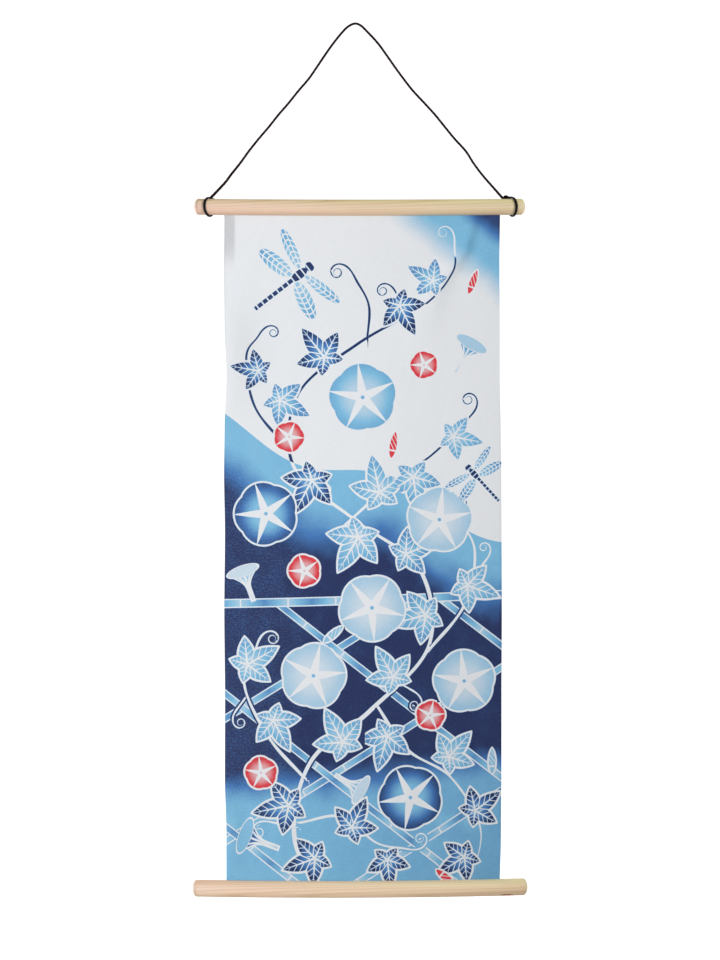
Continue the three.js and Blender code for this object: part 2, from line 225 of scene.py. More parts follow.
# Poured dye, in metres. Each begins so far under the top rod at the rods' middle, and lower or higher to the
# right by its slope. The first one's edge waves up and down.
BLUE_START, BLUE_SLOPE, BLUE_WAVE = 0.352, 0.40, 0.016
FOOT_START, FOOT_SLOPE = 0.725, -0.10
# Tones of light blue at the top, in the haze at the upper right and at the foot
BLUE_TONE, HAZE_TONE, FOOT_TONE = 0.46, 0.96, 0.47
# Both selvedges, in metres across from the rods' middle, as the dye sees them
SELVEDGES = (-0.1765, 0.1835)

# Each light's place and size in metres, which power in the settings it has, and its share of that power
Lamp = namedtuple("Lamp", "place size power share")
LAMPS = {
    "Key": Lamp((11.7, -9.6, 1.3), (8.0, 9.6), "key_power", 1),
    "Fill": Lamp((-0.89, -1.24, -0.76), (0.8, 0.8), "fill_power", 1),
    "Behind Left": Lamp((-2.3, 1.2, -0.5), (1.2, 2.0), "back_power", 1),
    "Behind Right": Lamp((2.4, 0.95, -0.5), (1.2, 2.0), "back_power", 0.2),
}
LIT_MIDDLE = Vector((0, 0, -0.65))
GROUND_WHITE = 1.1
# The card that shades the lower right from the key light, in metres across and up from the hook
FLAG_DEPTH = -0.6
FLAG_OUTLINE = ((0.83, 0.8), (1.16, -0.36), (0.65, -1.19), (1.1, -1.9), (3.0, -1.9), (3.0, 0.8))

WHITE = (1, 1, 1, 1)
# Points closer than this are one
MERGE = 1e-6


def length_setting(name, description, default):
    return bpy.props.FloatProperty(name=name, description=description, default=default, unit="LENGTH")


def colour_setting(name, description, *default):
    return bpy.props.FloatVectorProperty(
        name=name, description=description, default=(*default, 1), size=4, subtype="COLOR")


class RodSettings(bpy.types.PropertyGroup):
    """Sizes and colours of the two rods"""

    radius: length_setting("Radius", "Rod's radius", 10.5 * MM)
    dome: length_setting("Dome", "How far each rounded end stands out", 6 * MM)
    slot_width: length_setting("Slot Width", "Saw slot's width", 1.7 * MM)
    slot_depth: length_setting("Slot Depth", "Saw slot's depth", 13.5 * MM)
    ring_spacing: length_setting("Ring Spacing", "Distance between growth rings", 2.6 * MM)
    pale: colour_setting("Pale Wood", "Early wood's colour", 0.87, 0.68, 0.51)
    dark: colour_setting("Dark Wood", "Late wood's colour", 0.66, 0.43, 0.27)
    mark: colour_setting("Marks", "Colour of the dark marks", 0.40, 0.15, 0.03)


class CordSettings(bpy.types.PropertyGroup):
    """Sizes and colours of the cord and the elastic loops"""

    radius: length_setting("Radius", "Cord's radius", 1.5 * MM)
    ply_length: length_setting("Ply Length", "Length of one turn of a ply", 6.5 * MM)
    colour: colour_setting("Cord", "Cord's colour", 0.017, 0.0075, 0.0075)
    elastic_radius: length_setting("Elastic Radius", "Half the elastic strand's width", 1.72 * MM)
    elastic_flat: bpy.props.FloatProperty(
        name="Elastic Flatness", description="Share of its width that the strand stands off the rod",
        default=0.72, subtype="FACTOR")
    elastic: colour_setting("Elastic", "Elastic's colour", 0.003, 0.0034, 0.0038)


class ClothSettings(bpy.types.PropertyGroup):
    """Sizes and colours of the dyed cotton"""

    thickness: length_setting("Thickness", "Cotton's thickness", 0.45 * MM)
    step: length_setting("Step", "Mesh size", 3.0 * MM)
    thread: length_setting("Thread", "Distance between threads", 0.6 * MM)
    outline: length_setting("Outline", "Half the width of the undyed lines", 1.25 * MM)
    white: colour_setting("White", "Undyed cotton", 0.765, 0.785, 0.815)
    light_blue: colour_setting("Light Blue", "Thin dye", 0.203, 0.485, 0.71)
    mid_blue: colour_setting("Mid Blue", "Dye between light and deep", 0.055, 0.18, 0.46)
    indigo: colour_setting("Indigo", "Deep dye", 0.0155, 0.028, 0.105)
    red: colour_setting("Red", "Accent dye", 0.68, 0.045, 0.062)


class StageSettings(bpy.types.PropertyGroup):
    """Camera, light and floor"""

    lens: bpy.props.FloatProperty(
        name="Lens", description="Focal length in millimetres", default=86, unit="CAMERA")
    eye: bpy.props.FloatVectorProperty(
        name="Eye", description="Camera's place", subtype="TRANSLATION", size=3,
        default=(0.00589, -2.98749, -0.68443))
    pitch: bpy.props.FloatProperty(
        name="Pitch", description="How far the camera looks up", default=0.02911, unit="ROTATION")
    floor_drop: length_setting("Floor Drop", "Floor's distance below the hook", 1.34)
    key_power: bpy.props.FloatProperty(
        name="Key Power", description="Key light in watts", default=2330, unit="POWER")
    fill_power: bpy.props.FloatProperty(
        name="Fill Power", description="Fill light in watts", default=5.07, unit="POWER")
    back_power: bpy.props.FloatProperty(
        name="Back Power", description="Light from behind in watts", default=58, unit="POWER")
    ambient: bpy.props.FloatProperty(
        name="Ambient", description="Strength of the even light from all round", default=0.42)


def operator(operation, reflected=False):
    """One of a Value's operators, which adds a Math node."""
    def apply(value, *others):
        values = (*others, value) if reflected else (value, *others)
        return value.finish.maths(operation, *values)
    return apply


class Value:
    """An output socket. Python's operators on it add Math nodes."""

    def __init__(self, finish, socket):
        self.finish, self.socket = finish, socket

    def __neg__(self):
        return self * -1

    __add__, __radd__ = operator("ADD"), operator("ADD", True)
    __sub__, __rsub__ = operator("SUBTRACT"), operator("SUBTRACT", True)
    __mul__, __rmul__ = operator("MULTIPLY"), operator("MULTIPLY", True)
    __truediv__, __rtruediv__ = operator("DIVIDE"), operator("DIVIDE", True)
    __pow__, __mod__, __abs__ = operator("POWER"), operator("FLOORED_MODULO"), operator("ABSOLUTE")
    __gt__, __lt__ = operator("GREATER_THAN"), operator("LESS_THAN")


class Finish:
    """A material made from nodes, with one Principled shader."""

    def __init__(self, name, **constants):
        self.material = bpy.data.materials.new(name)
        self.material.use_nodes = True
        self.tree = self.material.node_tree
        self.shader = self.tree.nodes["Principled BSDF"]
        for socket, value in constants.items():
            self.shader.inputs[socket.replace("_", " ")].default_value = value

    def node(self, kind, settings=(), sockets=(), out=0):
        """Adds a node, sets its settings and then its sockets, and returns one output."""
        made = self.tree.nodes.new(kind)
        for name, value in dict(settings).items():
            if name == "stops":
                self.set_stops(made.color_ramp, value)
            else:
                setattr(made, name, value)
        for name, value in dict(sockets).items():
            if isinstance(value, Value):
                self.tree.links.new(value.socket, made.inputs[name])
            else:
                made.inputs[name].default_value = value
        return Value(self, made.outputs[out])

    @staticmethod
    def set_stops(ramp, stops):
        while len(ramp.elements) < len(stops):
            ramp.elements.new(1)
        for element, (place, colour) in zip(ramp.elements, stops):
            element.position = place
            element.color = colour

    def maths(self, operation, *values):
        if not any(isinstance(value, Value) for value in values):
            raise ValueError("numbers alone are worked out in Python")
        return self.node("ShaderNodeMath", {"operation": operation}, enumerate(values))

    def low(self, a, b):
        return self.maths("MINIMUM", a, b)

    def high(self, a, b):
        return self.maths("MAXIMUM", a, b)

    def limit(self, value):
        return self.node("ShaderNodeClamp", {}, {"Value": value})

    def step(self, value, start, end):
        """0 before start and 1 after end, with a smooth rise between."""
        settings = {"interpolation_type": "SMOOTHSTEP"}
        return self.node("ShaderNodeMapRange", settings, {"Value": value, "From Min": start, "From Max": end})

    def within(self, distance, soft=SOFT):
        """1 where a signed distance is negative."""
        return 1 - self.step(distance, -soft, soft)

    def between(self, a, b, share):
        return a + (b - a) * share

    def mix(self, share, a, b):
        """Two colours mixed."""
        return self.node("ShaderNodeMix", {"data_type": "RGBA"}, {0: share, 6: a, 7: b}, 2)

    def times(self, a, b):
        """A colour multiplied by another, or by a shade, and kept from passing white."""
        settings = {"data_type": "RGBA", "blend_type": "MULTIPLY", "clamp_result": True}
        return self.node("ShaderNodeMix", settings, {0: 1.0, 6: a, 7: b}, 2)

    def uv(self, name):
        return self.split(self.node("ShaderNodeUVMap", {"uv_map": name}))

    def fact(self, name):
        return self.split(self.node("ShaderNodeAttribute", {"attribute_name": name}, out=1))

    def place(self):
        return self.node("ShaderNodeTexCoord", out=3)

    def split(self, vector):
        made = self.node("ShaderNodeSeparateXYZ", {}, {0: vector})
        outputs = made.socket.node.outputs
        return [Value(self, outputs[i]) for i in range(3)]

    def join(self, x, y, z=0.0):
        return self.node("ShaderNodeCombineXYZ", {}, {0: x, 1: y, 2: z})

    def noise(self, vector, scale, detail=2.0, roughness=0.5):
        """Noise from about 0 to 1."""
        sockets = {"Vector": vector, "Scale": scale, "Detail": detail, "Roughness": roughness}
        return self.node("ShaderNodeTexNoise", {}, sockets)

    def streaks(self, *places, detail=2.0, roughness=0.5):
        """Noise over places that are already stretched along each axis."""
        return self.noise(self.join(*places), 1.0, detail, roughness)

    def bump(self, height, distance, strength=1.0):
        sockets = {"Strength": strength, "Distance": distance, "Height": height}
        self.feed(Normal=self.node("ShaderNodeBump", {}, sockets))

    def feed(self, **values):
        for name, value in values.items():
            self.tree.links.new(value.socket, self.shader.inputs[name.replace("_", " ")])


def smooth(value, start, end):
    share = np.clip((value - start) / (end - start), 0, 1)
    return share * share * (3 - 2 * share)


def bump_at(turn, centre, spread):
    return np.exp(-(((turn - centre) / spread) ** 2))


def turned(a, b, degrees):
    """How far a place lies along a line that is turned so far, and off it."""
    cos, sin = math.cos(math.radians(degrees)), math.sin(math.radians(degrees))
    return a * cos + b * sin, b * cos - a * sin


def outward(turn):
    """The way out of a rod, with turn 0 at its front and 90 on its top."""
    angle = np.radians(turn)
    return np.stack([0 * angle, -np.cos(angle), np.sin(angle)], axis=-1)


def shades(paint, dark, pale):
    """A darker and a paler shade of a colour."""
    return [[share * part for part in paint[:3]] + [1] for share in (dark, pale)]


def axis_height(rod, x):
    """Height of a rod's axis over the level line through its ends' middle, x across from the rods' middle."""
    return rod.slope * x - rod.sag * (1 - (2 * x / ROD_LENGTH) ** 2)


def finished(name, bm, material, slot, *nodes, smooth_angle=None):
    """Makes the mesh a piece that rides with the frame and stands for its nodes."""
    mesh = bpy.data.meshes.new(name)
    bm.to_mesh(mesh)
    bm.free()
    mesh.polygons.foreach_set("use_smooth", [True] * len(mesh.polygons))
    if smooth_angle is not None:
        mesh.set_sharp_from_angle(angle=smooth_angle)
    piece = bpy.data.objects.new(name, mesh)
    bpy.context.scene.collection.objects.link(piece)
    mesh.materials.append(material)
    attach(piece, "root")
    if nodes:
        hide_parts(*nodes)
    return piece


def rolled_tube(bm, steps, sides, place):
    """Rolls a grid into a tube. place takes shares along and round it, as arrays, and gives points."""
    if not bm.loops.layers.uv:
        bm.loops.layers.uv.new("Strand")
    made = bmesh.ops.create_grid(bm, x_segments=steps, y_segments=sides, size=0.5, calc_uvs=True)["verts"]
    flat = np.array([vert.co for vert in made]) + 0.5
    for vert, point in zip(made, place(flat[:, 0], flat[:, 1])):
        vert.co = point
    bmesh.ops.remove_doubles(bm, verts=made, dist=MERGE)


def closed_and_outward(bm):
    bmesh.ops.holes_fill(bm, edges=bm.edges, sides=0)
    bmesh.ops.recalc_face_normals(bm, faces=bm.faces)


def smooth_route(points, spacing):
    """A Catmull-Rom line through points, as points about spacing apart."""
    points = np.array(points, float)
    padded = np.vstack([2 * points[0] - points[1], points, 2 * points[-1] - points[-2]])
    line = []
    for before, a, b, after in zip(padded, padded[1:], padded[2:], padded[3:]):
        count = max(2, int(np.linalg.norm(b - a) / spacing) * 4)
        share = (np.arange(count) / count)[:, None]
        square = (2 * before - 5 * a + 4 * b - after) * share ** 2
        cube = (3 * a - before - 3 * b + after) * share ** 3
        line.append(a + 0.5 * ((b - before) * share + square + cube))
    line = np.vstack([*line, points[-1:]])
    reach = np.concatenate([[0], np.cumsum(np.linalg.norm(np.diff(line, axis=0), axis=1))])
    even = np.linspace(0, reach[-1], max(2, round(reach[-1] / spacing)) + 1)
    return np.stack([np.interp(even, reach, line[:, i]) for i in range(line.shape[1])], axis=1)


def strand_tube(bm, line, radius, ply_length, side_way=(0, 1, 0), swell=()):
    """A twisted cord along the line, its plies standing out a little, thicker at its ends by each swell."""
    plies, relief, sides = 3, 0.04, 14
    line = np.array(line)
    along = np.gradient(line, axis=0)
    along /= np.linalg.norm(along, axis=1)[:, None]
    out = np.cross(along, np.array(side_way, float))
    out /= np.linalg.norm(out, axis=1)[:, None]
    side = np.cross(out, along)
    reach = np.concatenate([[0], np.cumsum(np.linalg.norm(np.diff(line, axis=0), axis=1))])

    def place(share, turn):
        station = np.rint(share * (len(line) - 1)).astype(int)
        angle = 2 * np.pi * turn
        twist = plies * angle - 2 * np.pi * reach[station] / ply_length
        wide = radius * (1 - relief + 2 * relief * np.abs(np.cos(twist / 2)))
        for (more, over), from_end in zip(swell, (reach, reach[-1] - reach)):
            wide = wide * (1 + more * np.exp(-((from_end[station] / over) ** 2)))
        ring = out[station] * np.cos(angle)[:, None] + side[station] * np.sin(angle)[:, None]
        return line[station] + ring * wide[:, None]

    rolled_tube(bm, len(line) - 1, sides, place)


def loop_line(loop, turn):
    """The elastic strand's centre, with turn 0 at the rod's front and 90 on its top."""
    settings, rods = bpy.context.scene.tenugui_cord, bpy.context.scene.tenugui_rod
    tip = loop.lean * (1 - np.cos(np.radians(turn - loop.phase)))
    across = loop.side * (loop.front - tip - loop.pull * bump_at(turn, loop.pull_at, loop.pull_spread)) * MM
    lift = KNOT_LIFT * bump_at(turn, loop.knot_at, KNOT_LIFT_SPREAD)
    radius = rods.radius + ELASTIC_CLEAR + settings.elastic_radius * settings.elastic_flat + lift
    line = outward(turn) * radius[..., None]
    line[..., 0] = across + RODS_ACROSS
    line[..., 2] += axis_height(RODS["top_rod"], across) - TOP_ROD_DROP
    return line


def cord_finish(name):
    """Dull dark cord, its fibres running along the plies."""
    settings = bpy.context.scene.tenugui_cord
    finish = Finish(name, Roughness=1.0, Specular_IOR_Level=0.03)
    place = finish.place()
    fibre = finish.noise(place, 1900, 3, 0.6)
    patch = finish.noise(place, 60, 2)
    shade = finish.limit(0.35 * patch + 0.65 * fibre)
    finish.feed(Base_Color=finish.mix(finish.step(shade, 0.3, 0.72), *shades(settings.colour, 0.55, 1.6)))
    finish.bump(fibre, 0.15 * MM, 0.4)
    return finish.material


def elastic_finish():
    """Black braided elastic: a fine diagonal braid on its strand's own map."""
    settings = bpy.context.scene.tenugui_cord
    finish = Finish("Black Elastic", Specular_IOR_Level=0.1)
    along, turn, _ = finish.uv("Strand")
    threads, turns = 74, 4
    one_way = abs((along * threads + turn * turns) % 1 - 0.5)
    other_way = abs((along * threads - turn * turns) % 1 - 0.5)
    braid = finish.high(one_way, other_way)
    fibre = finish.noise(finish.place(), 1500, 2)
    shade = finish.limit(braid * 1.3 + fibre * 0.5 - 0.35)
    finish.feed(Base_Color=finish.mix(shade, *shades(settings.elastic, 0.6, 1.8)))
    finish.feed(Roughness=0.5 + 0.25 * fibre)
    finish.bump(braid, 0.2 * MM, 0.5)
    return finish.material


def wood_finish(name, rod):
    """Planed softwood: growth rings round a pith outside the rod, fine fibres along it."""
    settings = bpy.context.scene.tenugui_rod
    finish = Finish(name, Specular_IOR_Level=0.35)
    x, y, z = finish.split(finish.place())
    across = x - RODS_ACROSS
    rise = z + rod.drop - axis_height(rod, across)
    # The pith wanders along the rod and isn't quite level with it
    wander = finish.noise(finish.join(x, 0.0), 5.0) * (3.2 * MM)
    back = y - rod.pith_back + wander
    up = z + rod.drop - rod.pith_up - 0.03 * x
    rings = (back * back + up * up) ** 0.5 / settings.ring_spacing
    ring = (rings + finish.streaks(x * 6, y * 90, z * 90) * 0.55) % 1
    late = finish.step(ring, 0.42, 0.88) * (1 - finish.step(ring, 0.9, 1.0))
    fibre = finish.streaks(x * 14, y * 1500, z * 1500, detail=3, roughness=0.6)
    streak = finish.streaks(x * 3, y * 170, z * 170)
    broad = finish.streaks(x * 4, y * 30, z * 30, detail=1)
    shoulder = (ROD_LENGTH + rod.longer) / 2 - settings.dome
    end = finish.step(abs(across), shoulder - 0.2 * MM, shoulder + 1.2 * MM)
    grain = late * 0.42 + (fibre - 0.5) * 0.5 + (streak - 0.5) * 0.8 + (broad - 0.5) * 0.5
    darkness = finish.limit(grain * (1 - 0.9 * end) + 0.1)
    paint = finish.mix(darkness, tuple(settings.pale), tuple(settings.dark))
    share = finish.limit(across / ROD_LENGTH + 0.5 + (broad - 0.5) * 0.2)
    # The tints carry painted light and shade as well as the wood's own tone
    tone_and_light = WoodToneAndLight(*[finish.mix(share, (*left, 1), (*right, 1)) for left, right in zip(rod.left, rod.right)])
    height = rise / (settings.radius * rod.thicker)
    paint = finish.times(paint, tone_and_light.middle)
    paint = finish.times(paint, finish.mix(finish.step(height, 0.1, 0.75), WHITE, tone_and_light.upper))
    paint = finish.times(paint, finish.mix(finish.step(-height, -0.1, 0.7), WHITE, tone_and_light.lower))
    for mark in rod.marks:
        beside = (across - mark.across * MM) / (mark.reach * MM)
        above = (rise - mark.up * MM) / (mark.rise * MM)
        spot = (1 - finish.step(beside * beside + above * above, 0.1, 1)) * (y < 0)
        paint = finish.mix(spot * mark.depth, paint, tuple(settings.mark))
    finish.feed(Base_Color=finish.times(paint, 1 - 0.08 * end), Roughness=0.52 + 0.2 * fibre)
    finish.bump((fibre * 0.7 + late * 0.3) * (1 - 0.8 * end), 0.12 * MM, 0.5)
    return finish.material


def dowel(name, rod):
    """A round rod with domed ends: a profile spun about its axis, slotted with a saw, then let sag."""
    settings = bpy.context.scene.tenugui_rod
    shoulder = (ROD_LENGTH + rod.longer) / 2 - settings.dome
    radius = settings.radius * rod.thicker
    stations = np.linspace(-shoulder, shoulder, ROD_STATIONS)
    bm = bmesh.new()
    angles = np.linspace(0, math.pi / 2, DOME_STEPS)
    left = [(-shoulder - settings.dome * math.cos(a), radius * math.sin(a)) for a in angles]
    profile = left + [(x, radius) for x in stations[1:-1]] + [(-x, r) for x, r in reversed(left)]
    verts = [bm.verts.new((x, 0, r)) for x, r in profile]
    edges = [bm.edges.new(pair) for pair in zip(verts, verts[1:])]
    bmesh.ops.spin(
        bm, geom=verts + edges, cent=(0, 0, 0), axis=(1, 0, 0), angle=math.tau, steps=ROD_SIDES,
        use_merge=True)
    bmesh.ops.remove_doubles(bm, verts=bm.verts, dist=MERGE)
    bmesh.ops.recalc_face_normals(bm, faces=bm.faces)
    saw = bmesh.new()
    floor, top = radius - settings.slot_depth, radius + SAW_PAST
    bmesh.ops.create_cube(saw, size=1)
    for vert in saw.verts:
        vert.co.x *= ROD_LENGTH + rod.longer + 2 * SAW_PAST
        vert.co.y *= settings.slot_width
        vert.co.z = rod.slot * (floor if vert.co.z < 0 else top)
    bmesh.ops.recalc_face_normals(saw, faces=saw.faces)
    cut = sawn(bm, saw)
    for x in stations:
        geometry = cut.verts[:] + cut.edges[:] + cut.faces[:]
        bmesh.ops.bisect_plane(cut, geom=geometry, dist=MERGE, plane_co=(x, 0, 0), plane_no=(1, 0, 0))
    for vert in cut.verts:
        vert.co.z += axis_height(rod, vert.co.x) - rod.drop
        vert.co.x += RODS_ACROSS + rod.longer / 4
    crease = math.radians(35)
    return finished(f"{name}_wood", cut, wood_finish(name, rod), "softwood", name, smooth_angle=crease)


def sawn(solid, tool):
    """The solid less the tool, as a new bmesh."""
    objects = []
    for bm, name in ((solid, "solid"), (tool, "tool")):
        mesh = bpy.data.meshes.new(name)
        bm.to_mesh(mesh)
        bm.free()
        objects.append(bpy.data.objects.new(name, mesh))
        bpy.context.scene.collection.objects.link(objects[-1])
    boolean = objects[0].modifiers.new("Saw", "BOOLEAN")
    boolean.operation, boolean.object, boolean.solver = "DIFFERENCE", objects[1], "EXACT"
    result = bmesh.new()
    result.from_object(objects[0], bpy.context.evaluated_depsgraph_get())
    for unused in objects:
        bpy.data.objects.remove(unused)
    return result


def eased(drop, drops, values):
    """Values measured at some drops, eased between them."""
    drops, values = np.array(drops, float), np.array(values, float)
    row = np.clip(np.searchsorted(drops, drop, side="right") - 1, 0, len(drops) - 2)
    return values[row] + (values[row + 1] - values[row]) * smooth(drop, drops[row], drops[row + 1])


def fold_depth(fold, x, drop):
    drops, across, left, right, depth = zip(*fold)
    offset = x - eased(drop, drops, across)
    reach = np.where(offset < 0, eased(drop, drops, left), eased(drop, drops, right))
    return eased(drop, drops, depth) * np.exp(-((offset / reach) ** 2))


def cloth_depth(x, z):
    """How far back the cloth lies in millimetres, x across from the rods' middle, z up from the top rod."""
    top, bottom = RODS["top_rod"], RODS["bottom_rod"]
    radius = bpy.context.scene.tenugui_rod.radius / MM
    under = axis_height(top, x * MM) / MM - z - radius
    over = z + ROD_SPACING / MM - axis_height(bottom, x * MM) / MM - radius * bottom.thicker
    free = smooth(under, STRAIGHT_UNTIL, FREE_AFTER) * smooth(over, STRAIGHT_UNTIL, FREE_AFTER)
    folds = sum(fold_depth(fold, x, -z) for fold in FOLDS)
    outside = (MARGIN_LEAN.crease - x) / MARGIN_LEAN.softness
    lean = MARGIN_LEAN.slope * MARGIN_LEAN.softness * np.log1p(np.exp(np.minimum(outside, 60)))
    leaning = smooth(under, 0, MARGIN_LEAN.starts) * (1 - smooth(-z, MARGIN_LEAN.full, MARGIN_LEAN.gone))
    return free * folds + leaning * lean


def print_grid(mesh, flat):
    """Lays the design on the cloth's faces. flat is each vertex's place across and down, in millimetres."""
    corners = np.zeros(len(mesh.loops), int)
    mesh.loops.foreach_get("vertex_index", corners)
    corner = flat[corners].reshape(-1, 4, 2)
    centre = corner.mean(axis=1)
    set_map(mesh, "Cloth", corner * MM)
    strokes = [(stroke.width, stroke_route(stroke)) for stroke in VINES]
    set_map(mesh, "Vine", stroke_places(corner, centre, strokes) * MM)
    for rows, name in ((LEAVES, "leaf"), (BLOOMS, "bloom")):
        places, facts = stamped(corner, centre, rows)
        set_map(mesh, name.title(), places)
        found = mesh.attributes.new(f"{name}_facts", "FLOAT_VECTOR", "FACE")
        found.data.foreach_set("vector", facts.astype(np.float32).ravel())


def set_map(mesh, name, places):
    layer = mesh.uv_layers.get(name) or mesh.uv_layers.new(name=name)
    layer.uv.foreach_set("vector", places.astype(np.float32).ravel())


def stroke_route(stroke):
    """A stroke's line, carried on into a tendril that winds tighter and tighter."""
    line = smooth_route(stroke.points, 2)
    if stroke.curl:
        share = np.linspace(0, 1, stroke.curl)[1:]
        heading = math.atan2(*(line[-1] - line[-2])[::-1]) + 2 * math.pi * stroke.turns * share ** 2
        steps = np.stack([np.cos(heading), np.sin(heading)], axis=1)
        line = np.vstack([line, line[-1] + np.cumsum(steps, axis=0)])
    return line


def stroke_places(corner, centre, strokes):
    """For each corner, its way to the side of its face's nearest stroke, and half that stroke's width."""
    # In millimetres: the answer where no stroke is near, and how near one has to be
    far_off, near_enough = 1000.0, 10
    places = np.tile(np.array([far_off, 0.0]), (len(corner), 4, 1))
    lengths = [len(line) for _, line in strokes]
    points = np.vstack([line for _, line in strokes])
    last = np.cumsum(lengths) - 1
    stroke = np.repeat(np.arange(len(strokes)), lengths)
    first = np.concatenate([[0], last[:-1] + 1])
    widths = np.concatenate([brush(width, line) for width, line in strokes])
    nearest = np.zeros(len(centre), int)
    for part in np.array_split(np.arange(len(centre)), 40):
        gap = centre[part, None, :] - points[None]
        nearest[part] = (gap ** 2).sum(-1).argmin(1)
    near = np.flatnonzero(np.linalg.norm(centre - points[nearest], axis=1) < near_enough)
    best = np.full((len(near), 4), np.inf)
    for shift in range(-4, 4):
        start = np.clip(nearest[near] + shift, first[stroke[nearest[near]]], last[stroke[nearest[near]]] - 1)
        a, b = points[start], points[start + 1]
        reach = np.linalg.norm(b - a, axis=1)[:, None]
        along = ((b - a) / reach)[:, None]
        from_a = corner[near] - a[:, None]
        run = np.clip((from_a * along).sum(-1), 0, reach)
        far = np.linalg.norm(from_a - run[..., None] * along, axis=-1)
        side = np.where(along[..., 0] * from_a[..., 1] - along[..., 1] * from_a[..., 0] < 0, -1, 1)
        width = widths[start][:, None] + (widths[start + 1] - widths[start])[:, None] * run / reach
        closer = far < best
        best = np.where(closer, far, best)
        found = np.stack([side * far, width], axis=-1)
        places[near] = np.where(closer[..., None], found, places[near])
    return places


def brush(width, line):
    """Half a stroke's width along it: full at its root, uneven like a brush, thin at its tip."""
    share = np.linspace(0, 1, len(line))
    return 0.5 * width * (1 - 0.62 * share) * (1 + 0.12 * np.sin(share * 37 + width)) * (1 - share ** 12)


def stamped(corner, centre, rows):
    """Each face's places on the motif over it, in metres from its root, and that motif's facts."""
    no_motif, reach = 9.0, 1.45
    places = np.full((len(corner), 4, 2), no_motif)
    facts = np.tile(np.array([1.0, 0.0, 0.0]), (len(corner), 1))
    claimed = np.full(len(centre), reach)
    for row in rows:
        share = np.linalg.norm(centre - (row.across, row.down), axis=1) / row.size
        over = share < claimed
        claimed[over] = share[over]
        local = corner[over] - (row.across, row.down)
        places[over] = np.stack(turned(local[..., 0], local[..., 1], row.turn), axis=-1) * MM
        facts[over] = (row.size * MM, row.tone, row.kind)
    return places, facts


def petal(finish, a, b, turn, reach, width):
    """Distance from a pointed petal out of the origin, and the share along it and distance off its middle."""
    along, off = turned(a, b, turn)
    along, off = along / reach, abs(off)
    share = finish.limit(along)
    half = share ** 0.55 * (1 - share) * (width * 2.55)
    return (off - half) * 0.85 + abs(along - share) * reach, along, off


def oval(a, b, turn, centre, reach, width):
    """Distance from an oval whose middle is centre out along turn."""
    along, off = turned(a, b, turn)
    along, off = (along - centre) / reach, off / width
    return ((along * along + off * off) ** 0.5 - 1) * width, along, off


def inked(finish, distance, lines, outside, inside):
    """Whether a motif with its undyed outline covers a place, and whether it is dyed there, off its lines."""
    dyed = finish.within(distance + inside) * (1 - finish.within(lines))
    return finish.within(distance - outside), dyed


def leaf_print(finish, line, rough):
    """A three-lobed leaf with undyed veins: how far the face is covered, and its tone."""
    a, b, _ = finish.uv("Leaf")
    size, tone, _ = finish.fact("leaf_facts")
    a, b = a / size, abs(b / size)
    lobes = [petal(finish, a, b, *lobe) for lobe in LEAF_LOBES]
    distance, along, off = lobes[0]
    for lobe in lobes[1:]:
        nearer = lobe[0] < distance
        distance = finish.low(distance, lobe[0])
        along, off = finish.between(along, lobe[1], nearer), finish.between(off, lobe[2], nearer)
    rib = finish.high(off - 0.032 * (1.05 - along), 0.01 - along)
    side_vein = abs((along - off * 1.1) / 0.21 % 1 - 0.5) * 0.21 - 0.026 * (1.15 - along)
    vein = finish.low(rib, finish.high(side_vein, 0.14 - along)) * size + rough * 0.6
    cover, dyed = inked(finish, distance * size + rough, vein, line, line)
    return cover, dyed * tone * (0.62 + 0.5 * finish.step(along + off, 0.1, 0.95))


def face_on_print(finish, a, b, size, tone, line, rough):
    """An open flower with five undyed rays and a dot at its heart."""
    radius = (a * a + b * b) ** 0.5
    ray = abs(finish.maths("ARCTAN2", b, a) / math.radians(360 / 5) % 1 - 0.5)
    rays = radius * ray * math.radians(360 / 5) - 0.16 * (1.04 - radius)
    star = finish.low(rays, radius - 0.13) * size + rough * 0.6
    cover, dyed = inked(finish, (radius - 1 + 0.3 * ray * ray) * size + rough, star, line, line)
    dot = finish.within((radius - 0.055) * size) * 0.5
    return cover, dyed * tone * (0.5 + 0.55 * finish.step(radius, 0.3, 0.98)) + dot


def side_on_print(finish, a, b, size, tone, line, rough):
    """A flower from the side: its tube and flared mouth."""
    off = abs(b)
    flare = finish.step(a, -0.6, 0.55)
    half = 0.075 + 0.62 * flare * flare
    tube = finish.high(off - half, abs(a + 0.28) - 0.68)
    mouth = oval(a, b, 0, 0.4, 0.24, 0.72)[0]
    lip = abs(mouth) * size - line * 0.8
    rays = finish.low(off, abs(off - half * 0.6)) - 0.035 * (1.15 - abs(a))
    lines = finish.low(lip, finish.high(rays, -mouth) * size) + rough * 0.6
    cover, dyed = inked(finish, finish.low(tube, mouth) * size + rough, lines, line, line)
    shade = (1 - 0.5 * finish.within(mouth, 0.05)) * (0.6 + 0.5 * finish.step(a, -0.7, 0.3))
    return cover, dyed * tone * shade


def bud_print(finish, a, b, size, tone, line, rough):
    """A twisted bud with slanting undyed lines and a calyx."""
    share = finish.limit((a + 1) / 2)
    half = share ** 0.6 * (1 - share) ** 0.7 * 0.75
    twist = abs((a * 1.3 + b * 1.9) % 0.55 - 0.27) - 0.055
    calyx = abs(a + 0.42) - 0.06
    lines = finish.low(finish.high(twist, -0.42 - a), calyx) * size + rough * 0.6
    distance = finish.high(abs(b) - half, abs(a) - 1) * size + rough
    cover, dyed = inked(finish, distance, lines, line, 0.8 * line)
    return cover, dyed * tone


